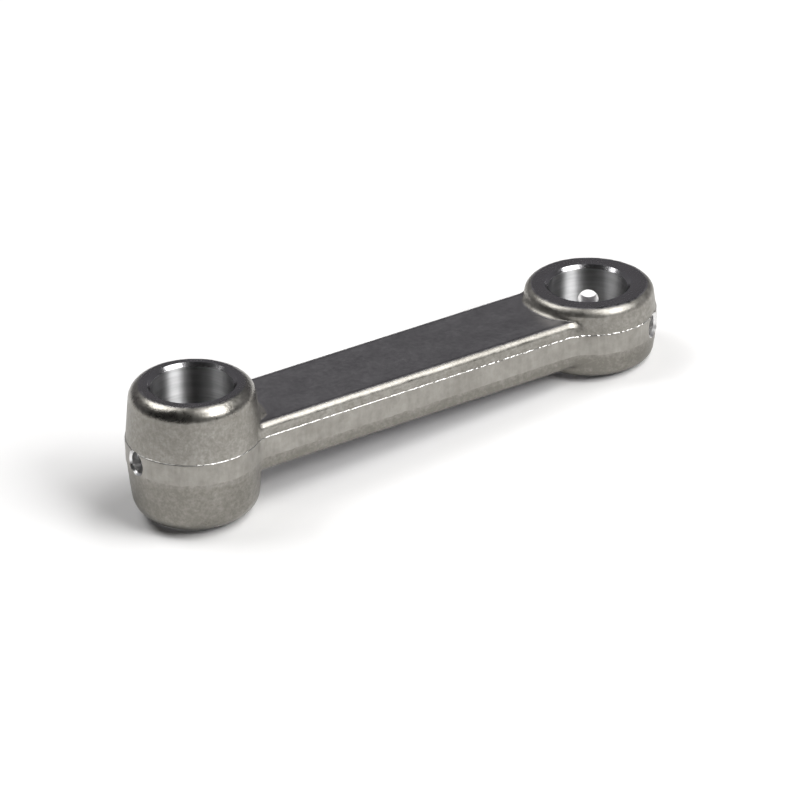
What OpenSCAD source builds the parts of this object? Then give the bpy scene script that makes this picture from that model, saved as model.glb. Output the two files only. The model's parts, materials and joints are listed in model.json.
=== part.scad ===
// Connecting rod for a small single-cylinder engine.
// One light-alloy forging carries two round eyes; each eye holds a plain bush.
// Frame: +X runs from the small-end bore to the big-end bore, +Z runs along both bores.
// Z = 0 is half way through both eyes and the beam. All lengths are in millimetres.

/* [Rod] */
// Distance between the two bore axes
centre_distance = 35; // [30:0.5:45]
// Diameter of the pin bore in both bushes
pin_bore = 6; // [5.4:0.1:6.2]
// Wall thickness of both bushes
bush_wall = 0.4; // [0.3:0.05:0.45]
// Depth of the 45 degree chamfer at each bore mouth
mouth_chamfer = 0.24; // [0.1:0.02:0.28]

/* [Small end] */
// Length of the small end along its bore
small_end_length = 10; // [8:0.1:14]
// Radius of the small end where its side meets the rim rounding
small_side_radius = 4.62; // [4.5:0.02:4.9]
// Radius of the rounded rim of the small end
small_rim_radius = 1.2; // [0.6:0.05:1.2]
// Height machined off the forged crown of the small end
small_face_cut = 0.05; // [0.02:0.01:0.1]
// Forging draft of the small end in degrees
small_draft = 5.5; // [3:0.5:8]

/* [Big end] */
// Length of the big end along its bore
big_end_length = 5.66; // [5:0.02:8]
// Radius of the big end where its side meets the rim rounding
big_side_radius = 4.96; // [4.7:0.02:5.4]
// Radius of the rounded rim of the big end
big_rim_radius = 0.75; // [0.5:0.05:0.9]
// Height machined off the forged crown of the big end
big_face_cut = 0.015; // [0.01:0.005:0.05]
// Forging draft of the big end in degrees
big_draft = 7; // [4:0.5:14]

/* [Beam] */
// Thickness of the beam between its two flats
beam_thickness = 3.8; // [3:0.1:4.4]
// Half width of the beam to the centre of its edge rounding
beam_edge_centre = 2.93; // [2.4:0.01:3.1]
// Radius of the four long edges of the beam
beam_edge_radius = 0.55; // [0.3:0.05:0.6]
// Height trimmed off the crown of the beam edges
beam_face_cut = 0.013; // [0.005:0.001:0.03]
// Forging draft of the beam sides in degrees
beam_draft = 6; // [3:0.5:8]
// Plan radius between the beam and the small end
small_plan_fillet = 2; // [1:0.1:3]
// Plan radius between the beam and the big end
big_plan_fillet = 3.3; // [2:0.1:4]
// Radius between the beam flat and the side of the small end
small_root_fillet = 0.8; // [0.4:0.05:1]
// Radius between the beam flat and the side of the big end
big_root_fillet = 0.5; // [0.3:0.05:0.6]

/* [Trim land] */
// Height of the trim land above mid thickness
land_above = 0.93; // [0.7:0.01:1]
// Height of the trim land below mid thickness
land_below = 0.73; // [0.5:0.01:1]
// Distance the trim land stands proud of the forged sides
land_step = 0.06; // [0.03:0.01:0.12]

/* [Oil holes] */
// Diameter of every oil hole
oil_hole = 1.6; // [1:0.1:1.8]
// Mouth diameter of the countersunk small-end oil hole
oil_mouth = 2.05; // [1.9:0.05:2.4]
// Angle of each big-end oil hole from the outward rod axis, in degrees
big_oil_angle = 53; // [40:1:70]

/* [Hidden] */
$fn = 96;
half_beam = beam_thickness / 2;
beam_edge_z = half_beam + beam_face_cut - beam_edge_radius;
beam_band = side_at(beam_edge_centre, beam_edge_z, beam_edge_radius, beam_draft, land_above) + land_step;
beam_flat = beam_edge_centre + chord(beam_edge_radius, half_beam - beam_edge_z);
bush_radius = pin_bore / 2 + bush_wall;
reach = 9;
sink = 0.02;
core = 2.2;
edge_angles = [beam_draft, 24, 42, 60, 80];
seam = 150;

// Horizontal half chord of a circle of the given radius at height rise above its centre.
function chord(radius, rise) = sqrt(radius * radius - rise * rise);
// Distance of a drafted side from its axis at the given height, tangent to the rounding above it.
function side_at(centre, centre_z, radius, draft, z) =
  centre + radius / cos(draft) + (centre_z - z) * tan(draft);
// Distance along the rod from an eye axis to the start of its plan fillet.
function fillet_start(eye_radius, fillet) =
  sqrt(pow(eye_radius + fillet - sink, 2) - pow(beam_band + fillet, 2));

small_rim_z = small_end_length / 2 + small_face_cut - small_rim_radius;
small_rim_x = small_side_radius - small_rim_radius;
small_band = side_at(small_rim_x, small_rim_z, small_rim_radius, small_draft, land_above) + land_step;
small_start = fillet_start(small_band, small_plan_fillet);
small_root = side_at(small_rim_x, small_rim_z, small_rim_radius, small_draft, half_beam);

big_rim_z = big_end_length / 2 + big_face_cut - big_rim_radius;
big_rim_x = big_side_radius - big_rim_radius;
big_band = side_at(big_rim_x, big_rim_z, big_rim_radius, big_draft, land_above) + land_step;
big_start = fillet_start(big_band, big_plan_fillet);
big_root = side_at(big_rim_x, big_rim_z, big_rim_radius, big_draft, half_beam);

// Right half of a forged section: drafted sides, trim land and two rounded corners.
module forged_half(centre, centre_z, radius, draft) {
  tip_x = centre + radius * cos(draft);
  tip_z = centre_z + radius * sin(draft);
  top = centre_z + radius;
  upper = side_at(centre, centre_z, radius, draft, land_above);
  lower = side_at(centre, centre_z, radius, draft, land_below);
  polygon([
    [0, -top], [centre, -top], [tip_x, -tip_z],
    [lower, -land_below], [upper + land_step, -land_below],
    [upper + land_step, land_above], [upper, land_above],
    [tip_x, tip_z], [centre, top], [0, top]
  ]);
  translate([centre, centre_z])
    circle(r = radius);
  translate([centre, -centre_z])
    circle(r = radius);
}

// Point on the rounded long edge of the beam at the given angle, above or below mid thickness.
function edge_point(angle, level) = [
  beam_edge_centre + beam_edge_radius * cos(angle),
  level * (beam_edge_z + beam_edge_radius * sin(angle))
];

// Right half of the beam section.
module beam_half() {
  top = beam_edge_z + beam_edge_radius;
  polygon(concat(
    [[0, -top], [beam_edge_centre, -top]],
    [for (i = [len(edge_angles) - 1:-1:0]) edge_point(edge_angles[i], -1)],
    [[beam_band - land_step, -land_below], [beam_band, -land_below]],
    [[beam_band, land_above], [beam_band - land_step, land_above]],
    [for (angle = edge_angles) edge_point(angle, 1)],
    [[beam_edge_centre, top], [0, top]]
  ));
}

// Round eye with both end faces machined flat.
module eye(length, centre, centre_z, radius, draft) {
  rotate([0, 0, seam])
    rotate_extrude()
      intersection() {
        forged_half(centre, centre_z, radius, draft);
        translate([0, -length / 2])
          square([reach, length]);
      }
}

// Straight beam between the two plan fillets.
module beam() {
  run = centre_distance - small_start - big_start;
  translate([small_start, 0, 0])
    rotate([90, 0, 90])
      linear_extrude(height = run)
        intersection() {
          union() {
            beam_half();
            mirror([1, 0])
              beam_half();
          }
          square([reach * 2, beam_thickness], center = true);
        }
}

// One side of the web that flares from the beam into an eye at the origin.
module flare(start, fillet) {
  centre_y = beam_band + fillet;
  difference() {
    linear_extrude(height = beam_thickness, center = true)
      polygon([[core, 0], [start, 0], [start, centre_y - fillet / 3], [core, core * 1.6]]);
    translate([start, centre_y, 0])
      rotate([0, 0, 120])
        rotate_extrude()
          difference() {
            translate([0, -beam_thickness])
              square([centre_y, beam_thickness * 2]);
            translate([centre_y, 0])
              mirror([1, 0])
                beam_half();
          }
  }
}

// Plan shape of the flat on one side of the rod axis, next to an eye at the origin.
module flat_plan(start, fillet) {
  centre_y = beam_band + fillet;
  difference() {
    polygon([[0, 0], [start, 0], [start, centre_y]]);
    translate([start, centre_y])
      circle(r = centre_y - beam_flat + sink);
  }
  translate([start - sink, 0])
    square([reach - start, beam_flat - sink]);
}

// Concave ring between the beam flats and the side of an eye.
module root_ring(wall, fillet, start, plan_fillet) {
  intersection() {
    rotate([0, 0, seam])
      rotate_extrude()
        for (level = [0, 1])
          mirror([0, level])
            difference() {
              translate([core, half_beam / 2])
                square([wall + fillet - core, half_beam / 2 + fillet]);
              translate([wall + fillet, half_beam + fillet - sink])
                circle(r = fillet);
            }
    linear_extrude(height = reach, center = true)
      union() {
        flat_plan(start, plan_fillet);
        mirror([0, 1])
          flat_plan(start, plan_fillet);
      }
  }
}

// Web and ring fillets that join the beam to an eye at the origin.
module junction(wall, root_fillet, start, plan_fillet) {
  flare(start, plan_fillet);
  mirror([0, 1, 0])
    flare(start, plan_fillet);
  root_ring(wall, root_fillet, start, plan_fillet);
}

// Radial oil holes of the small end: one, on the rod axis, at the outer end.
module small_oil_cut() {
  rotate([0, -90, 0])
    cylinder(h = reach, d = oil_hole);
  rotate([0, -90, 0])
    translate([0, 0, small_band - 0.3])
      cylinder(h = 0.6, d1 = oil_hole, d2 = oil_mouth + 0.4);
}

// Radial oil holes of the big end: two, either side of the rod axis.
module big_oil_cut() {
  for (side = [-1, 1])
    rotate([0, 0, side * big_oil_angle])
      rotate([0, 90, 0])
        cylinder(h = reach, d = oil_hole);
}

module rod_forging() {
  color([0.66, 0.65, 0.62])
    difference() {
      union() {
        eye(small_end_length, small_rim_x, small_rim_z, small_rim_radius, small_draft);
        translate([centre_distance, 0, 0])
          eye(big_end_length, big_rim_x, big_rim_z, big_rim_radius, big_draft);
        beam();
        junction(small_root, small_root_fillet, small_start, small_plan_fillet);
        translate([centre_distance, 0, 0])
          mirror([1, 0, 0])
            junction(big_root, big_root_fillet, big_start, big_plan_fillet);
      }
      cylinder(h = small_end_length * 2, r = bush_radius, center = true);
      translate([centre_distance, 0, 0])
        cylinder(h = big_end_length * 2, r = bush_radius, center = true);
      small_oil_cut();
      translate([centre_distance, 0, 0])
        big_oil_cut();
    }
}

// Plain bush with a chamfer at each mouth, centred on the origin.
module bush(length) {
  inner = pin_bore / 2;
  difference() {
    cylinder(h = length, r = bush_radius, center = true);
    cylinder(h = length * 2, r = inner, center = true);
    for (level = [0, 1])
      mirror([0, 0, level])
        translate([0, 0, length / 2 - mouth_chamfer])
          cylinder(h = 1, r1 = inner, r2 = inner + 1);
  }
}

module small_end_bush() {
  color([0.74, 0.74, 0.74])
    difference() {
      bush(small_end_length);
      small_oil_cut();
    }
}

module big_end_bush() {
  color([0.74, 0.74, 0.74])
    translate([centre_distance, 0, 0])
      difference() {
        bush(big_end_length);
        big_oil_cut();
      }
}

rod_forging();
small_end_bush();
big_end_bush();
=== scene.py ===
import json
import math

import bmesh
import bpy
import numpy as np
from mathutils import Matrix, Vector


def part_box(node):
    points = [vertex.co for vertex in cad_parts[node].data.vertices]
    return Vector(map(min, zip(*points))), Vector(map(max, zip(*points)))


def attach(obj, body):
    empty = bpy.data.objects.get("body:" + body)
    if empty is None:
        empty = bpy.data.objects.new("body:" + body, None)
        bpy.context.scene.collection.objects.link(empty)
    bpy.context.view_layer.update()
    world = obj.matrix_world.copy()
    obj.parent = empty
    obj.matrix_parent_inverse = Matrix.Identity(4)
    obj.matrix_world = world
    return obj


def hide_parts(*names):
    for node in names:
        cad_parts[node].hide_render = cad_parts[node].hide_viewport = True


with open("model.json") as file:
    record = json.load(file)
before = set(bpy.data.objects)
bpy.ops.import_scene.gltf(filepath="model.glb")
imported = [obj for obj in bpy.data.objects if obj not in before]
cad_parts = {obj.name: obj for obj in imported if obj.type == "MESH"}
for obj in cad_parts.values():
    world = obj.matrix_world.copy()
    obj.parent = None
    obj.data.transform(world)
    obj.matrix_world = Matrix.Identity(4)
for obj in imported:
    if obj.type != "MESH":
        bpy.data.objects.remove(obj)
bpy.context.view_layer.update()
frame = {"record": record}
MM = 0.001

# ---------------------------------------------------------------- sizes, in millimetres
mounts = {m["name"]: m for m in frame["record"]["mounts"]}
LENGTH = mounts["big_end_bore"]["pos_m"][0] / MM
PIN_R = mounts["small_end_bore"]["dims"]["r_mm"]
SMALL_HALF = mounts["small_end_face_upper"]["pos_m"][2] / MM
BIG_HALF = mounts["big_end_face_upper"]["pos_m"][2] / MM
BUSH_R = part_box("small_end_bush")[1][1] / MM
CHAMFER = SMALL_HALF - mounts["small_end_bore"]["dims"]["length_mm"] / 2
FLAT_HALF = 1.9  # half the thickness of the beam, at its coined flats


def profile(rc, rho, top, draft, x=0.0):
    """Drafted side with a rounded rim: the rounding's centre, radius and top, and the draft in degrees."""
    return dict(x=x, rc=rc, rho=rho, zc=top - rho, slope=math.tan(math.radians(draft)))


# The bores were drilled a little off the centre of each forged eye, so the eyes have an x of their own.
SMALL = profile(3.42, 1.2, SMALL_HALF + 0.05, 5.5, x=-0.05)
BIG = profile(4.15, 0.75, BIG_HALF + 0.015, 7, x=LENGTH + 0.12)
BEAM = profile(2.93, 0.55, FLAT_HALF + 0.013, 6)
LOWER_RIM = 1.5
LAND_TOP, LAND_LOW, LAND_STEP = 0.93, -0.73, 0.06
# Fillets in plan between the beam and each eye, and what is left of them at the flats.
PLAN_SMALL, PLAN_BIG, PLAN_AT_FLAT = 2.0, 3.3, 0.35
# Root fillets between the flats and each eye, and how far from the beam's edge each reaches its full radius.
ROOTS = ((SMALL, 0.8, 0.8), (BIG, 0.5, 1.3))
OIL_R, OIL_ANGLE = 0.8, 53.0
# Countersinks: how far down the side the cone starts, and its radius where the cutter ends in the air.
SINK_SMALL, SINK_BIG = (0.28, 1.32), (0.22, 1.37)
# The coined flats: where coining starts and is complete, by height, and how much waviness it takes away.
COINED_START, COINED_FULL, COINED_CALM = 1.60, 1.76, 0.85
# A bush has as many sides as the bore it sits in, so the two walls meet exactly.
BORE_SIDES, DRILL_SIDES = 256, 96
FAR = 9.0  # outside the rod in every direction
FULL_TURN = 6.283


def side_at(s, z):
    """Distance of a drafted side from its centre at height z, without the rounding of the rim."""
    return s["rc"] + s["rho"] * math.hypot(1, s["slope"]) + (s["zc"] - abs(z)) * s["slope"]


# ---------------------------------------------------------------- shape of the forging as a distance field
def smooth(a, b, t):
    """0 at a, 1 at b, with a soft start and end. a may be the larger."""
    t = np.clip((t - a) / (b - a), 0, 1)
    return t * t * (3 - 2 * t)


def section(p, z, s):
    """Distance to a drafted section with a rounded rim: p outwards from its centre, z up."""
    # No draft inside the trim land, so the land stands proud of the sides all round.
    level = np.clip(z, LAND_LOW, LAND_TOP)
    level = -LAND_LOW + (level - LAND_LOW) * (LAND_TOP + LAND_LOW) / (LAND_TOP - LAND_LOW)
    z = np.maximum(np.abs(z), level)
    c = 1 / math.hypot(1, s["slope"])
    q, w = p - s["rc"], z - s["zc"]
    flat = np.maximum((q + w * s["slope"]) * c, w)
    corner = (q > 0) & (w - q * s["slope"] > 0)
    return np.where(corner, np.hypot(q, w), flat) - s["rho"]


def under_rim(s, rho):
    """The same side with a larger rounding, as the worn lower rim of the small end has."""
    k = math.hypot(1, s["slope"])
    top = s["zc"] + s["rho"]
    zero = s["rc"] + s["rho"] * k + s["zc"] * s["slope"]
    return dict(s, rho=rho, zc=top - rho, rc=zero - rho * k - (top - rho) * s["slope"])


SMALL_UNDER = under_rim(SMALL, LOWER_RIM)


def ring(x, y, z, eye):
    """Distance to an eye without its bore."""
    r = np.hypot(x - eye["x"], y)
    d = section(r, z, eye)
    if eye is SMALL:
        d = np.where(z < 0, section(r, z, SMALL_UNDER), d)
    return d


def round_union(a, b, r):
    """Union of two distances with a fillet of radius r."""
    r = np.maximum(r, 1e-6)
    return np.maximum(r, np.minimum(a, b)) - np.hypot(np.maximum(r - a, 0), np.maximum(r - b, 0))


def web_plan(dx, y, eye_r, half, fillet):
    """Plan distance to the strip and the wedge that fills the corner beside an eye with a true arc."""
    yf, reach = half + fillet, eye_r + fillet
    xf = np.sqrt(np.maximum(reach ** 2 - yf ** 2, 1e-6))
    strip = np.maximum(y - half, -dx)
    inside = (dx > 0) & (dx < xf) & (y * xf <= dx * yf)
    arc = fillet - np.hypot(dx - xf, y - yf)
    off, along = (y * xf - dx * yf) / reach, (dx * xf + y * yf) / reach
    beyond = np.where(along < eye_r, np.abs(off), np.hypot(off, along - eye_r))
    return np.where(inside, arc, np.where(dx < xf, np.minimum(strip, beyond), strip))


def edge_growth(level):
    """How far the beam's side stands out beyond its rounding's centre line at a height."""
    rise = level - BEAM["zc"]
    rounded = np.sqrt(np.maximum(BEAM["rho"] ** 2 - np.maximum(rise, 0) ** 2, 0))
    start = BEAM["rho"] * BEAM["slope"] / math.hypot(1, BEAM["slope"])
    drafted = side_at(BEAM, BEAM["zc"]) - BEAM["rc"] - rise * BEAM["slope"]
    return np.where(rise < start, drafted, rounded)


def body_distance(x, y, z):
    """Beam and eyes. The plan fillets are wide at the parting line and small at the flats."""
    y = np.abs(y)
    level = np.clip(np.maximum(np.abs(z), np.where(z > 0, LAND_TOP, -LAND_LOW)), 0, FLAT_HALF)
    grown = edge_growth(level)
    up = smooth(1.0, 2.0, level)
    plans = []
    for eye, sign, fillet in ((SMALL, 1, PLAN_SMALL), (BIG, -1, PLAN_BIG)):
        eye_r = side_at(eye, 0) - level * eye["slope"]
        here = fillet + (PLAN_AT_FLAT * fillet - fillet) * up + grown
        plans.append(web_plan(sign * (x - eye["x"]), y, eye_r - grown, BEAM["rc"], here))
    plan = np.where(x < LENGTH / 2, plans[0], plans[1])
    body = section(plan + BEAM["rc"], z, BEAM)
    for eye, root, reach in ROOTS:
        body = round_union(body, ring(x, y, z, eye), root * smooth(0.0, -reach, plan))
    return body


def gradient(f, p, e=0.004):
    """Slope of a distance field at points, by central differences."""
    g = np.empty_like(p)
    for i in range(3):
        d = np.zeros(3)
        d[i] = e
        g[:, i] = f(*(p + d).T) - f(*(p - d).T)
    g /= 2 * e
    return g


# Slow waviness that a forging die and blasting leave, as a sum of seeded plane waves.
rng = np.random.default_rng(11)
WAVES = []
WAVES_EACH = 7
for wavelength, height in ((5.0, 0.010), (2.6, 0.006), (1.3, 0.0028), (0.8, 0.0012)):
    for _ in range(WAVES_EACH):
        d = rng.normal(size=3)
        d /= np.linalg.norm(d)
        phase = rng.uniform(0, FULL_TURN)
        WAVES.append((d * 2 * math.pi / wavelength, phase, height / math.sqrt(WAVES_EACH)))


def wave(x, y, z):
    """Height of the waviness at points."""
    out = np.zeros_like(x)
    for k, phase, height in WAVES:
        out += height * np.sin(k[0] * x + k[1] * y + k[2] * z + phase)
    return out


def forged(x, y, z):
    """The forged skin. The flats of the beam were coined, so they carry almost no waviness."""
    flat = smooth(COINED_START, COINED_FULL, np.abs(z)) * smooth(1.0, 0.3, np.abs(np.abs(z) - FLAT_HALF))
    return body_distance(x, y, z) - wave(x, y, z) * (1 - COINED_CALM * flat)


def surface_net(f, low, high, h):
    """Quads on the zero level of f, one vertex per crossed cell, moved onto the true surface."""
    n = [int(math.ceil((b - a) / h)) + 1 for a, b in zip(low, high)]
    ax = [a + h * np.arange(m) for a, m in zip(low, n)]
    v = f(*np.meshgrid(*ax, indexing="ij"))
    s = v < 0
    cells = [m - 1 for m in n]
    total = np.zeros(cells + [3])
    count = np.zeros(cells)
    for axis in range(3):
        a = [slice(None)] * 3
        b = [slice(None)] * 3
        a[axis], b[axis] = slice(0, -1), slice(1, None)
        va, vb = v[tuple(a)], v[tuple(b)]
        cross = (va < 0) != (vb < 0)
        t = np.where(cross, va / np.where(cross, va - vb, 1), 0)
        others = [i for i in range(3) if i != axis]
        for o1 in (0, 1):
            for o2 in (0, 1):
                pick = [slice(None)] * 3
                pick[others[0]] = slice(o1, o1 + cells[others[0]])
                pick[others[1]] = slice(o2, o2 + cells[others[1]])
                c, tt = cross[tuple(pick)], t[tuple(pick)]
                count += c
                total[..., axis] += tt * c
                total[..., others[0]] += o1 * c
                total[..., others[1]] += o2 * c
    used = count > 0
    index = np.full(cells, -1)
    index[used] = np.arange(used.sum())
    where = np.argwhere(used)
    pts = np.array(low) + h * (where + total[used] / count[used][:, None])
    quads = []
    for axis in range(3):
        a = [slice(1, m - 1) for m in n]
        b = list(a)
        a[axis], b[axis] = slice(0, n[axis] - 1), slice(1, n[axis])
        sa, sb = s[tuple(a)], s[tuple(b)]
        e = np.argwhere(sa != sb)
        start = np.array([1, 1, 1])
        start[axis] = 0
        e = e + start
        o = [i for i in range(3) if i != axis]
        corner = []
        for d1, d2 in ((-1, -1), (0, -1), (0, 0), (-1, 0)):
            c = e.copy()
            c[:, o[0]] += d1
            c[:, o[1]] += d2
            corner.append(index[c[:, 0], c[:, 1], c[:, 2]])
        q = np.stack(corner, 1)
        inside_first = s[e[:, 0], e[:, 1], e[:, 2]]
        flip = inside_first if axis == 1 else ~inside_first
        q[flip] = q[flip][:, ::-1]
        quads.append(q)
    for _ in range(5):
        d = f(*pts.T)
        g = gradient(f, pts)
        pts = pts - np.clip(d, -h, h)[:, None] * g / np.maximum((g * g).sum(1), 1e-9)[:, None]
    return pts, np.concatenate(quads)


def mesh_object(name, pts, faces):
    """Object from points in millimetres."""
    me = bpy.data.meshes.new(name)
    me.from_pydata((np.asarray(pts) * MM).tolist(), [], [list(map(int, f)) for f in faces])
    me.validate()
    ob = bpy.data.objects.new(name, me)
    bpy.context.scene.collection.objects.link(ob)
    return ob


def apply_boolean(ob, cutter, operation):
    """Join or cut one object with another, which is then removed."""
    m = ob.modifiers.new("cut", "BOOLEAN")
    m.operation = operation
    m.object = cutter
    m.solver = "MANIFOLD"
    bpy.context.view_layer.update()
    deps = bpy.context.evaluated_depsgraph_get()
    me = bpy.data.meshes.new_from_object(ob.evaluated_get(deps))
    ob.modifiers.clear()
    old = ob.data
    ob.data = me
    bpy.data.meshes.remove(old)
    bpy.data.objects.remove(cutter)


def lathe(name, outline_rz, x):
    """Closed outline of (radius, height) points turned about the vertical through (x, 0)."""
    pr = np.asarray(outline_rz, float)
    a = np.linspace(0, 2 * math.pi, BORE_SIDES, endpoint=False)
    pts = np.stack([np.outer(np.cos(a), pr[:, 0]), np.outer(np.sin(a), pr[:, 0]),
                    np.tile(pr[:, 1], (BORE_SIDES, 1))], -1)
    m = len(pr)
    i = np.arange(BORE_SIDES)[:, None]
    j = np.arange(m)[None, :]
    i2, j2 = (i + 1) % BORE_SIDES, (j + 1) % m
    q = np.stack([i * m + j, i2 * m + j, i2 * m + j2, i * m + j2], -1).reshape(-1, 4)
    return mesh_object(name, pts.reshape(-1, 3) + np.array((x, 0, 0)), q)


def rod_cutter(levels, x, turn=None, sides=DRILL_SIDES):
    """Closed round solid through (radius, height) levels, turned by a matrix and moved along x."""
    a = np.linspace(0, 2 * math.pi, sides, endpoint=False)
    pts, faces = [], []
    for r, z in levels:
        pts += [(r * math.cos(t), r * math.sin(t), z) for t in a]
    for k in range(len(levels) - 1):
        low, high = k * sides, (k + 1) * sides
        for i in range(sides):
            i2 = (i + 1) % sides
            faces.append((low + i, low + i2, high + i2, high + i))
    faces.append(tuple(range(sides))[::-1])
    faces.append(tuple(range(high, high + sides)))
    pts = np.array(pts)
    if turn is not None:
        pts = pts @ np.array(turn.to_3x3()).T
    return mesh_object("cutter", pts + np.array((x, 0, 0)), faces)


def slab_cutter(x0, x1, z0, z1):
    """Closed box, wider than the rod."""
    p = [(x, y, z) for z in (z0, z1) for x in (x0, x1) for y in (-FAR, FAR)]
    sides = [(0, 1, 3, 2), (4, 6, 7, 5), (0, 4, 5, 1), (2, 3, 7, 6), (0, 2, 6, 4), (1, 5, 7, 3)]
    return mesh_object("cutter", p, sides)


OUTWARD = {
    "small": Matrix.Rotation(math.radians(-90), 4, "Y"),
    "left": Matrix.Rotation(math.radians(OIL_ANGLE), 4, "Z") @ Matrix.Rotation(math.radians(90), 4, "Y"),
    "right": Matrix.Rotation(math.radians(-OIL_ANGLE), 4, "Z") @ Matrix.Rotation(math.radians(90), 4, "Y"),
}


def oil_cutters(which):
    """Drills with a countersinking cone: one for the small end, or two for the big end."""
    start, past = 0.5, 0.35
    if which == "small":
        r, x, ways = side_at(SMALL, 0) + LAND_STEP, 0.0, ("small",)
        depth, wide = SINK_SMALL
    else:
        r, x, ways = side_at(BIG, 0), LENGTH, ("left", "right")
        depth, wide = SINK_BIG
    levels = [(OIL_R, start), (OIL_R, r - depth), (wide, r + past)]
    return [rod_cutter(levels, x, OUTWARD[k]) for k in ways]


# ---------------------------------------------------------------- trim land, left by the flash
def on_level(p, z):
    """Plan points moved onto the body's outline at height z."""
    for _ in range(6):
        q = np.column_stack([p, np.full(len(p), z)])
        g = gradient(body_distance, q)[:, :2]
        p = p - body_distance(*q.T)[:, None] * g / (g * g).sum(1)[:, None]
    return p


def outline(step):
    """Points and outward normals of the parting outline, walked along its true arcs and lines."""
    half = []
    for eye, fillet, sign in ((SMALL, PLAN_SMALL, 1), (BIG, PLAN_BIG, -1)):
        r, hw = side_at(eye, LAND_TOP), side_at(BEAM, LAND_TOP)
        yf = hw + fillet
        xf = math.sqrt((r + fillet) ** 2 - yf ** 2)
        end = math.atan2(yf, xf)
        a = np.arange(math.pi, end, -0.01)
        arc = np.stack([r * np.cos(a), r * np.sin(a)], 1)
        b = np.arange(end - math.pi, -math.pi / 2, 0.01)
        curve = np.stack([xf + fillet * np.cos(b), yf + fillet * np.sin(b)], 1)
        part = np.concatenate([arc, curve, [[xf, hw]]])
        part[:, 0] = eye["x"] + sign * part[:, 0]
        half.append(part)
    top = np.concatenate([half[0], half[1][::-1]])
    loop = np.concatenate([top, top[::-1][1:-1] * [1, -1]])
    seg = np.linalg.norm(np.roll(loop, -1, 0) - loop, axis=1)
    s = np.concatenate([[0], np.cumsum(seg)])
    m = int(s[-1] / step)
    t = np.linspace(0, s[-1], m, endpoint=False)
    closed = np.concatenate([loop, loop[:1]])
    p = np.stack([np.interp(t, s, closed[:, i]) for i in (0, 1)], 1)
    p = on_level(p, LAND_TOP)
    tan = np.roll(p, -1, 0) - np.roll(p, 1, 0)
    tan /= np.linalg.norm(tan, axis=1)[:, None]
    return p, np.stack([-tan[:, 1], tan[:, 0]], 1), t


def rough(t, seed, wavelength):
    """Seeded one-dimensional noise along the outline, about -1 to 1."""
    count = 24
    r = np.random.default_rng(seed)
    out = np.zeros_like(t)
    for k in range(count):
        w = wavelength * 2 ** r.uniform(-1.2, 1.2)
        out += np.sin(2 * math.pi * t / w + r.uniform(0, FULL_TURN))
    return out / math.sqrt(count / 2)


def ring_mesh(rows):
    """Closed tube through rows of points, each a pair of plan points and heights."""
    m = len(rows[0][0])
    points = np.concatenate([np.column_stack([xy, z]) for xy, z in rows])
    a = np.arange(m)
    b = (a + 1) % m
    quads = []
    for k in range(len(rows)):
        k2 = (k + 1) % len(rows)
        quads.append(np.stack([k * m + a, k2 * m + a, k2 * m + b, k * m + b], 1))
    ob = mesh_object("land", points, np.concatenate(quads))
    bm = bmesh.new()
    bm.from_mesh(ob.data)
    bmesh.ops.recalc_face_normals(bm, faces=bm.faces)
    bm.to_mesh(ob.data)
    bm.free()
    return ob


def trim_land():
    """A band round the whole outline, with the small tears and burrs of flash trimming."""
    path, out, t = outline(0.09)
    lower = on_level(path, LAND_LOW)
    buried, lip, bands = 0.25, 0.085, 8
    chunk = np.clip(rough(t, 3, 1.4), -1.6, 1.6)
    edge_out = LAND_STEP + 0.008 * chunk + 0.004 * rough(t, 4, 0.35)
    edge_up = LAND_TOP + 0.010 * chunk + 0.006 * rough(t, 5, 0.5)
    # The flash tore off raggedly near the big end, and left a scuffed patch on the front of the small end.
    ragged = smooth(19, 24, path[:, 0]) * np.maximum(rough(t, 9, 0.55), 0)
    edge_up = edge_up - 0.035 * ragged
    edge_out = edge_out - 0.016 * ragged
    patch = (-2.7, -4.1)
    scuff = smooth(1.9, 0.7, np.hypot(path[:, 0] - patch[0], path[:, 1] - patch[1]))
    edge_low = LAND_LOW + 0.012 * rough(t, 6, 1.8)
    low_out = 0.035 + 0.008 * rough(t, 7, 1.2)
    core = path - out * 0.9
    rows = [(core, np.full(len(path), LAND_TOP - 0.05))]
    rows += [(path - out * buried, edge_up - 0.05), (path - out * 0.04, edge_up - 0.03)]
    for turn in np.radians((25, 42, 58, 74, 90)):
        reach = edge_out - lip + lip * math.sin(turn)
        rows.append((path + out * reach[:, None], edge_up + 0.012 - lip * (1 - math.cos(turn))))
    for k in range(1, bands):
        f = 0.07 + 0.93 * k / bands
        tear = 0.008 * rough(t, 20 + k // 2, 1.1) + 0.003 * rough(t, 40 + k, 0.4)
        tear = tear + scuff * math.sin(math.pi * k / bands) ** 2 * (0.016 * rough(t, 60 + k, 0.5) - 0.02)
        reach = edge_out * (1 - f) + low_out * f + tear * 0.6
        rows.append((path * (1 - f) + lower * f + out * reach[:, None], edge_up * (1 - f) + edge_low * f))
    rows.append((lower + out * low_out[:, None], edge_low + 0.012))
    rows.append((lower + out * (low_out - 0.03)[:, None], edge_low))
    rows.append((lower - out * buried, edge_low))
    rows.append((core, np.full(len(path), LAND_LOW + 0.05)))
    return ring_mesh(rows)


# ---------------------------------------------------------------- forging and bush meshes
STEP = 0.15
LOW_CORNER, HIGH_CORNER = (-5.4, -5.7, -5.4), (LENGTH + 5.8, 5.7, 5.4)
forging = mesh_object("forging_body", *surface_net(forged, LOW_CORNER, HIGH_CORNER, STEP))
apply_boolean(forging, trim_land(), "UNION")

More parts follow.
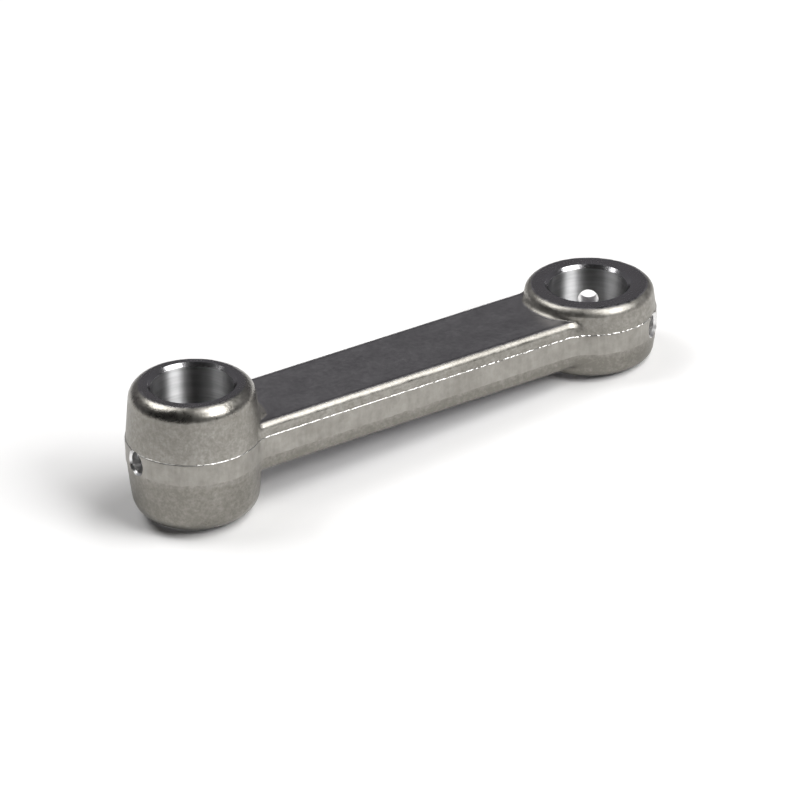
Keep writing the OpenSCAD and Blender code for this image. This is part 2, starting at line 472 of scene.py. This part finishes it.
# Machined faces, bores and oil holes.
for x0, x1, half in ((-FAR, 12, SMALL_HALF), (LENGTH - 8, LENGTH + FAR, BIG_HALF)):
    apply_boolean(forging, slab_cutter(x0, x1, half, FAR), "DIFFERENCE")
    apply_boolean(forging, slab_cutter(x0, x1, -FAR, -half), "DIFFERENCE")
for x in (0.0, LENGTH):
    apply_boolean(forging, rod_cutter([(BUSH_R, -FAR), (BUSH_R, FAR)], x, sides=BORE_SIDES), "DIFFERENCE")
for cutter in oil_cutters("small") + oil_cutters("big"):
    apply_boolean(forging, cutter, "DIFFERENCE")
forging.name = forging.data.name = "forging_body"


def bush(name, x, half, which):
    """Plain bush with chamfered mouths, drilled for oil."""
    mouth = PIN_R + CHAMFER
    wall = [(PIN_R, z) for z in np.linspace(half - CHAMFER, -(half - CHAMFER), 24)]
    outline_rz = [(BUSH_R, -half), (BUSH_R, half), (mouth, half)] + wall + [(mouth, -half)]
    ob = lathe(name, outline_rz[::-1], x)
    for cutter in oil_cutters(which):
        apply_boolean(ob, cutter, "DIFFERENCE")
    ob.name = ob.data.name = name
    return ob


small_bush = bush("small_end_liner", 0, SMALL_HALF, "small")
big_bush = bush("big_end_liner", LENGTH, BIG_HALF, "big")

# ---------------------------------------------------------------- which surface each face belongs to
SKIN, FACED, LAND, DRILLED = 0, 1, 2, 3  # of the forging
BORE, END, HOLE = 0, 1, 2  # of a bush
OIL_AXES = [(np.zeros(3), np.array([-1.0, 0, 0]))]
for side in (-1, 1):
    a = math.radians(side * OIL_ANGLE)
    OIL_AXES.append((np.array([LENGTH, 0, 0]), np.array([math.cos(a), math.sin(a), 0])))


def face_data(me):
    """Centres in millimetres and normals of all faces."""
    c = np.empty(len(me.polygons) * 3)
    n = np.empty(len(me.polygons) * 3)
    me.polygons.foreach_get("center", c)
    me.polygons.foreach_get("normal", n)
    return c.reshape(-1, 3) / MM, n.reshape(-1, 3)


def drilled(c, n):
    """Faces of the oil holes: close to an oil axis, well out from the eye's centre, and turned inwards."""
    well_out, close = 2.5, 1.45
    out = np.zeros(len(c), bool)
    for o, d in OIL_AXES:
        rel = c - o
        along = rel @ d
        radial = rel - along[:, None] * d
        dist = np.linalg.norm(radial, axis=1)
        toward = (n * radial).sum(1) / np.maximum(dist, 1e-6)
        wall = dist < OIL_R + 0.02
        cone = (dist > OIL_R) & (np.abs(n @ d) > 0.1) & (toward < -0.5)
        out |= (along > well_out) & (dist < close) & (toward < -0.25) & (wall | cone)
    return out


def classify_forging(me):
    """Surface of each face: skin, machined face or bore, trim land, or oil hole."""
    c, n = face_data(me)
    kind = np.full(len(c), SKIN)
    up = np.abs(n[:, 2]) > 0.9999
    small = np.hypot(c[:, 0], c[:, 1])
    big = np.hypot(c[:, 0] - LENGTH, c[:, 1])
    kind[up & (np.abs(np.abs(c[:, 2]) - SMALL_HALF) < 1e-3) & (small < 6)] = FACED
    kind[up & (np.abs(np.abs(c[:, 2]) - BIG_HALF) < 1e-3) & (big < 6)] = FACED
    kind[(np.abs(n[:, 2]) < 0.01) & (np.minimum(small, big) < BUSH_R + 0.01)] = FACED
    in_band = (c[:, 2] > LAND_LOW - 0.05) & (c[:, 2] < LAND_TOP + 0.05)
    kind[in_band & (kind == SKIN) & (forged(*c.T) > 0.0015)] = LAND
    kind[drilled(c, n)] = DRILLED
    return kind


def classify_bush(me):
    """Surface of each face: bore and outside, faced ends with their chamfers, or oil hole."""
    c, n = face_data(me)
    kind = np.full(len(c), BORE)
    kind[np.abs(n[:, 2]) > 0.2] = END
    kind[drilled(c, n)] = HOLE
    return kind


def shade(ob, kind, field=None):
    """Smooth inside each surface, sharp between them. A field gives its skin true normals and worn edges."""
    sharp_angle, step = 0.6, 0.12
    me = ob.data
    me.polygons.foreach_set("material_index", kind.astype(np.int32))
    me.polygons.foreach_set("use_smooth", np.ones(len(kind), bool))
    bm = bmesh.new()
    bm.from_mesh(me)
    for e in bm.edges:
        f = e.link_faces
        if len(f) == 2:
            angle = f[0].normal.angle(f[1].normal, 0)
            e.smooth = f[0].material_index == f[1].material_index and angle < sharp_angle
    bm.to_mesh(me)
    bm.free()
    if field is None:
        return
    co = np.empty(len(me.vertices) * 3)
    me.vertices.foreach_get("co", co)
    co = co.reshape(-1, 3) / MM
    g = gradient(field, co, 0.01)
    g /= np.maximum(np.linalg.norm(g, axis=1)[:, None], 1e-9)
    loops = np.empty(len(me.loops), np.int32)
    me.loops.foreach_get("vertex_index", loops)
    total = np.empty(len(me.polygons), np.int32)
    me.polygons.foreach_get("loop_total", total)
    per_loop = np.repeat(kind, total)
    normals = np.where((per_loop == SKIN)[:, None], g[loops], 0.0)
    me.normals_split_custom_set(normals.tolist())
    curve = sum(field(*(co + np.eye(3)[a] * d).T) for a in range(3) for d in (-step, step))
    curve = (curve - 6 * field(*co.T)) / step ** 2
    # Rims with a large rounding are worn smoother. Tighter edges, such as the beam's, are left as they are.
    edge = smooth(0.45, 1.0, curve) * (1 - smooth(1.1, 1.6, curve))
    worn = me.attributes.new("worn_edge", "FLOAT", "POINT")
    worn.data.foreach_set("value", edge.astype(np.float32))


# ---------------------------------------------------------------- materials
def material(name, metallic=0.0):
    """New material with its node tree and shader."""
    m = bpy.data.materials.new(name)
    m.use_nodes = True
    nt = m.node_tree
    shader = nt.nodes["Principled BSDF"]
    shader.inputs["Metallic"].default_value = metallic
    return m, nt, shader


def node(nt, kind, **values):
    """New node. Each value sets the input of that name, or else the property."""
    n = nt.nodes.new(kind)
    for k, v in values.items():
        if k in n.inputs:
            n.inputs[k].default_value = v
        else:
            setattr(n, k, v)
    return n


def math_node(nt, op, a, b=None, c=None, clamp=False):
    """Result of an operation on up to three outputs or numbers."""
    n = nt.nodes.new("ShaderNodeMath")
    n.operation = op
    n.use_clamp = clamp
    for i, v in enumerate((a, b, c)):
        if v is None:
            continue
        if isinstance(v, (int, float)):
            n.inputs[i].default_value = v
        else:
            nt.links.new(v, n.inputs[i])
    return n.outputs[0]


def scaled(nt, value, factor, plus=0.0, clamp=False):
    """value * factor + plus, where plus is an output or a number."""
    return math_node(nt, "MULTIPLY_ADD", value, factor, plus, clamp)


def ramp(nt, value, stops):
    """Colour ramp through (position, grey or colour) stops."""
    r = nt.nodes.new("ShaderNodeValToRGB")
    el = r.color_ramp.elements
    while len(el) < len(stops):
        el.new(0.5)
    for e, (at, col) in zip(el, stops):
        e.position = at
        e.color = (*col, 1) if not isinstance(col, (int, float)) else (col, col, col, 1)
    nt.links.new(value, r.inputs[0])
    return r.outputs[0]


def noise(nt, scale, detail, roughness, stretch=(1, 1, 1), offset=(0, 0, 0)):
    """Noise in the object's own metres, so scale counts the features in a metre."""
    tc = nt.nodes.new("ShaderNodeTexCoord")
    mp = nt.nodes.new("ShaderNodeMapping")
    mp.inputs["Scale"].default_value = stretch
    mp.inputs["Location"].default_value = offset
    nt.links.new(tc.outputs["Object"], mp.inputs[0])
    n = node(nt, "ShaderNodeTexNoise", Scale=scale, Detail=detail, Roughness=roughness)
    nt.links.new(mp.outputs[0], n.inputs["Vector"])
    return n.outputs["Fac"]


def bump(nt, bsdf, heights):
    """Chain of bumps: each (height output, distance in metres, strength)."""
    last = None
    for h, distance, strength in heights:
        b = node(nt, "ShaderNodeBump", Strength=strength, Distance=distance)
        nt.links.new(h, b.inputs["Height"])
        if last is not None:
            nt.links.new(last, b.inputs["Normal"])
        last = b.outputs[0]
    nt.links.new(last, bsdf.inputs["Normal"])


def height_of(nt, vector):
    """The z part of a vector."""
    parts = nt.nodes.new("ShaderNodeSeparateXYZ")
    nt.links.new(vector, parts.inputs[0])
    return parts.outputs[2]


def mix_colours(nt, factor, first, second):
    """Mix of two colours, each an output or a constant."""
    mix = node(nt, "ShaderNodeMix", data_type="RGBA")
    nt.links.new(factor, mix.inputs[0])
    for socket, colour in ((6, first), (7, second)):
        if isinstance(colour, tuple):
            mix.inputs[socket].default_value = (*colour, 1)
        else:
            nt.links.new(colour, mix.inputs[socket])
    return mix.outputs[2]


def skin_material():
    """Blasted skin, smoother on the coined flats, with worn edges and painted shade that darkens the lower
    half.
    """
    m, nt, b = material("forged_skin", 1.0)
    grain = noise(nt, 5600, 3, 0.6)
    mottle = noise(nt, 2700, 3, 0.6, offset=(0.5, 0.9, 0.3))
    blotch = noise(nt, 620, 3, 0.55, offset=(0.3, 0.1, 0.2))
    cloud = noise(nt, 130, 2, 0.5, offset=(0.7, 0.4, 0.9))
    worn = node(nt, "ShaderNodeAttribute", attribute_name="worn_edge").outputs["Fac"]
    normal = nt.nodes.new("ShaderNodeNewGeometry").outputs["Normal"]
    place = nt.nodes.new("ShaderNodeTexCoord").outputs["Object"]
    coined = ramp(nt, math_node(nt, "ABSOLUTE", height_of(nt, normal)), [(0.90, 0.0), (0.965, 1.0)])
    tone = scaled(nt, blotch, 0.2, scaled(nt, cloud, 0.2))
    tone = scaled(nt, mottle, 0.35, tone)
    tone = scaled(nt, grain, 0.25, tone)
    # Painted shade: the skin's colour darkens towards the bottom, standing in for the shade of the floor
    # close under the rod.
    painted_shade_below = scaled(nt, height_of(nt, place), -1200.0, -0.6, clamp=True)
    tone = scaled(nt, painted_shade_below, -0.11, tone)
    as_forged = ramp(nt, tone, [
        (0.36, (0.215, 0.205, 0.182)),
        (0.50, (0.305, 0.292, 0.265)),
        (0.64, (0.42, 0.405, 0.375)),
    ])
    as_coined = ramp(nt, tone, [(0.3, (0.30, 0.293, 0.306)), (0.7, (0.39, 0.38, 0.392))])
    nt.links.new(mix_colours(nt, coined, as_forged, as_coined), b.inputs["Base Color"])
    roughness = scaled(nt, blotch, 0.12, scaled(nt, mottle, 0.14, 0.30))
    roughness = math_node(nt, "SUBTRACT", roughness, math_node(nt, "MULTIPLY", coined, 0.04))
    roughness = math_node(nt, "SUBTRACT", roughness, math_node(nt, "MULTIPLY", worn, 0.14))
    nt.links.new(roughness, b.inputs["Roughness"])
    bump(nt, b, [(grain, 0.00002, 0.5), (mottle, 0.00004, 0.25)])
    return m


def faced_material(name, tone, rough_base):
    """Faced metal: the ends of the eyes and of the bushes."""
    m, nt, b = material(name, 1.0)
    grain = noise(nt, 6000, 3, 0.6)
    soft = noise(nt, 700, 2, 0.5)
    col = ramp(nt, soft, [(0.3, tuple(0.92 * v for v in tone)), (0.7, tuple(1.06 * v for v in tone))])
    nt.links.new(col, b.inputs["Base Color"])
    nt.links.new(scaled(nt, grain, 0.12, rough_base), b.inputs["Roughness"])
    bump(nt, b, [(grain, 0.00001, 0.3), (soft, 0.00004, 0.15)])
    return m


def land_material():
    """Trim land. Its lip that faces up is sheared metal, and its colour there is also brightened as a
    painted highlight.
    """
    m, nt, b = material("trim_land", 1.0)
    streak = noise(nt, 2400, 4, 0.6, stretch=(1, 1, 0.25))
    mottle = noise(nt, 1300, 3, 0.6, offset=(0.5, 0.9, 0.3))
    blotch = noise(nt, 420, 3, 0.6, offset=(0.2, 0.6, 0.1))
    grain = noise(nt, 5200, 3, 0.6)
    tone = scaled(nt, mottle, 0.35, scaled(nt, blotch, 0.4, scaled(nt, streak, 0.25)))
    torn = ramp(nt, tone, [
        (0.34, (0.25, 0.238, 0.215)),
        (0.5, (0.325, 0.312, 0.285)),
        (0.66, (0.405, 0.39, 0.36)),
    ])
    normal = nt.nodes.new("ShaderNodeNewGeometry").outputs["Normal"]
    # Painted highlight, partly real: faces of the land turned up get a brighter colour, for the sheared
    # metal and for the light they catch from above.
    sheared_lip_and_highlight = ramp(nt, height_of(nt, normal), [(0.15, 0.0), (0.40, 1.0)])
    nt.links.new(mix_colours(nt, sheared_lip_and_highlight, torn, (0.52, 0.51, 0.49)), b.inputs["Base Color"])
    roughness = scaled(nt, blotch, 0.2, 0.30)
    nt.links.new(scaled(nt, sheared_lip_and_highlight, -0.08, roughness), b.inputs["Roughness"])
    bump(nt, b, [(streak, 0.00003, 0.15), (mottle, 0.00004, 0.2), (grain, 0.00002, 0.35)])
    return m


def bore_material():
    """Reamed bore, with fine rings and reflections stretched along its axis."""
    m, nt, b = material("reamed_bore", 1.0)
    rings = noise(nt, 1.0, 4, 0.65, stretch=(200, 200, 7000))
    wide = noise(nt, 1.0, 2, 0.5, stretch=(300, 300, 1500), offset=(2, 1, 4))
    dark, light = ([0.52 * v for v in shade_of] for shade_of in ((0.72, 0.72, 0.725), (1.2, 1.2, 1.205)))
    col = ramp(nt, scaled(nt, rings, 0.5, scaled(nt, wide, 0.5)), [(0.3, dark), (0.7, light)])
    nt.links.new(col, b.inputs["Base Color"])
    nt.links.new(scaled(nt, rings, 0.2, 0.42), b.inputs["Roughness"])
    tangent = node(nt, "ShaderNodeTangent", direction_type="RADIAL", axis="Z")
    nt.links.new(tangent.outputs[0], b.inputs["Tangent"])
    b.inputs["Anisotropic"].default_value = 1.0
    b.inputs["Anisotropic Rotation"].default_value = 0.25
    bump(nt, b, [(rings, 0.00002, 0.3), (wide, 0.00006, 0.2)])
    return m


def painted_highlight_drill_material():
    """Drilled metal of the oil holes. Fresh metal gives part of its brightness, and the rest is a painted
    highlight that stands in for the lit walls of the holes.
    """
    m, nt, b = material("drilled_hole", 1.0)
    grain = noise(nt, 4200, 3, 0.6)
    soft = noise(nt, 900, 2, 0.5)
    # Painted highlight: a colour far brighter than the other machined metal, so the hole walls look lit.
    col = ramp(nt, soft, [(0.3, (0.72, 0.715, 0.71)), (0.7, (0.92, 0.915, 0.91))])
    nt.links.new(col, b.inputs["Base Color"])
    nt.links.new(scaled(nt, grain, 0.16, 0.22), b.inputs["Roughness"])
    bump(nt, b, [(grain, 0.00002, 0.3), (soft, 0.00004, 0.3)])
    return m


painted_highlight_drill = painted_highlight_drill_material()
eye_face = faced_material("faced_metal", (0.375, 0.365, 0.375), 0.2)
bush_face = faced_material("bush_face", (0.40, 0.395, 0.405), 0.12)
bored = bore_material()
forging.data.materials.clear()
for mat in (skin_material(), eye_face, land_material(), painted_highlight_drill):
    forging.data.materials.append(mat)
shade(forging, classify_forging(forging.data), forged)
for ob in (small_bush, big_bush):
    ob.data.materials.clear()
    for mat in (bored, bush_face, painted_highlight_drill):
        ob.data.materials.append(mat)
    shade(ob, classify_bush(ob.data))

PIECES = (
    (forging, "rod_forging", "forging"),
    (small_bush, "small_end_bush", "bush"),
    (big_bush, "big_end_bush", "bush"),
)
for ob, cad, slot in PIECES:
    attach(ob, "root")
    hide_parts(cad)

# ---------------------------------------------------------------- camera
AZ, EL, ROLL = math.radians(-33.62), math.radians(27.54), math.radians(-1.06)
DISTANCE, MOVE_RIGHT, MOVE_UP = 331.77, 0.2485, -2.289  # millimetres
SENSOR, LENS, SHIFT_Y = 36, 202.5, -0.001875
back = Vector((math.sin(AZ) * math.cos(EL), -math.cos(AZ) * math.cos(EL), math.sin(EL)))
right = Vector((math.cos(AZ), math.sin(AZ), 0))
up = back.cross(right)
place = Vector((LENGTH / 2, 0, LAND_TOP)) + back * DISTANCE + right * MOVE_RIGHT + up * MOVE_UP
cam_right = right * math.cos(ROLL) + up * math.sin(ROLL)
cam_up = up * math.cos(ROLL) - right * math.sin(ROLL)
cam_data = bpy.data.cameras.new("camera")
cam_data.sensor_width = SENSOR
cam_data.lens = LENS
cam_data.shift_y = SHIFT_Y
cam_data.clip_start = 0.01
cam_data.clip_end = 20
cam = bpy.data.objects.new("camera", cam_data)
bpy.context.scene.collection.objects.link(cam)
cam_turn = Matrix((cam_right, cam_up, back)).transposed()
cam.matrix_world = Matrix.Translation(place * MM) @ cam_turn.to_4x4()
bpy.context.scene.camera = cam


# ---------------------------------------------------------------- floor
# The rod lies on the lower ends of both eyes, which are not equally tall, so the floor slopes.
def flat_edge(e, half):
    """Radius of an eye's faced end."""
    return e["rc"] + math.sqrt(e["rho"] ** 2 - (half - e["zc"]) ** 2)


FLOOR_SIZE, FLOOR_CELLS, FLOOR_GAP = 2.2, 24, 0.004  # metres, cells, millimetres
touch_small = (flat_edge(SMALL, SMALL_HALF), -SMALL_HALF)
touch_big = (LENGTH + flat_edge(BIG, BIG_HALF), -BIG_HALF)
tilt = math.atan2(touch_big[1] - touch_small[1], touch_big[0] - touch_small[0])
along = Vector((math.cos(tilt), 0, math.sin(tilt)))
across = Vector((0, 1, 0))
middle = Vector((touch_small[0], 0, touch_small[1] - FLOOR_GAP)) * MM
verts, faces = [], []
for i in range(FLOOR_CELLS + 1):
    for j in range(FLOOR_CELLS + 1):
        u, v = (i / FLOOR_CELLS - 0.5) * FLOOR_SIZE, (j / FLOOR_CELLS - 0.5) * FLOOR_SIZE
        verts.append((middle + along * u + across * v)[:])
row = FLOOR_CELLS + 1
for i in range(FLOOR_CELLS):
    for j in range(FLOOR_CELLS):
        a = i * row + j
        faces.append((a, a + row, a + row + 1, a + 1))
floor_mesh = bpy.data.meshes.new("floor")
floor_mesh.from_pydata(verts, [], faces)
floor = bpy.data.objects.new("floor", floor_mesh)
bpy.context.scene.collection.objects.link(floor)
pale, pale_nodes, pale_shader = material("pale_floor")
cloudy = noise(pale_nodes, 9, 2, 0.5)
paper = ramp(pale_nodes, cloudy, [(0.3, (0.86, 0.855, 0.85)), (0.7, (0.875, 0.87, 0.865))])
pale_nodes.links.new(paper, pale_shader.inputs["Base Color"])
pale_shader.inputs["Roughness"].default_value = 0.75
floor.data.materials.append(pale)

# ---------------------------------------------------------------- light
flat_right = Vector((right.x, right.y, 0)).normalized()
flat_away = Vector((-back.x, -back.y, 0)).normalized()
TARGET = Vector((LENGTH / 2, 0, 0)) * MM
SOFTBOX_DISTANCE = 0.8


def direction(el, az):
    """Direction from the rod, azimuth 0 to the camera's right and 90 away from it."""
    e, a = math.radians(el), math.radians(az)
    return (flat_right * math.cos(a) + flat_away * math.sin(a)) * math.cos(e) + Vector((0, 0, math.sin(e)))


def softbox(name, el, az, wide, tall, radiance):
    """Rectangular light that faces the rod: angles in degrees, sizes in metres."""
    z = direction(el, az)
    x = Vector((0, 0, 1)).cross(z).normalized()
    data = bpy.data.lights.new(name, "AREA")
    data.shape = "RECTANGLE"
    data.size, data.size_y = wide, tall
    data.energy = radiance * math.pi * wide * tall
    ob = bpy.data.objects.new(name, data)
    facing_rod = Matrix((x, z.cross(x), z)).transposed()
    ob.matrix_world = Matrix.Translation(TARGET + z * SOFTBOX_DISTANCE) @ facing_rod.to_4x4()
    bpy.context.scene.collection.objects.link(ob)
    ob.visible_camera = False


softbox("softbox_right_low", 38, -36, 0.42, 0.23, 11.5)
softbox("softbox_right_high", 54, -24, 0.42, 0.22, 7.2)
softbox("softbox_top_right", 68, -30, 0.30, 0.22, 5.4)
softbox("softbox_right_back", 68, 14, 0.30, 0.22, 6.4)
softbox("softbox_left", 54, 160, 0.40, 0.24, 7.0)
softbox("softbox_top_left", 70, 155, 0.28, 0.22, 3.2)

# The room is dark behind the camera, and has a grey wall beyond the rod that fades towards the ceiling.
world = bpy.data.worlds.new("studio")
bpy.context.scene.world = world
world.use_nodes = True
wn = world.node_tree
bg = wn.nodes["Background"]
view = wn.nodes.new("ShaderNodeTexCoord").outputs["Generated"]
away = wn.nodes.new("ShaderNodeVectorMath")
away.operation = "DOT_PRODUCT"
away.inputs[1].default_value = flat_away[:]
wn.links.new(view, away.inputs[0])
wall = ramp(wn, scaled(wn, height_of(wn, view), 0.5, 0.5), [
    (0.50, (0.19, 0.185, 0.195)),
    (0.73, (0.16, 0.155, 0.165)),
    (0.85, (0.06, 0.06, 0.06)),
    (1.0, (0.02, 0.02, 0.02)),
])
beyond = ramp(wn, scaled(wn, away.outputs["Value"], 0.5, 0.5), [(0.42, 0.0), (0.62, 1.0)])
wn.links.new(mix_colours(wn, beyond, (0.02, 0.02, 0.02), wall), bg.inputs["Color"])
bg.inputs["Strength"].default_value = 1.0
bpy.context.scene.view_settings.view_transform = "Standard"
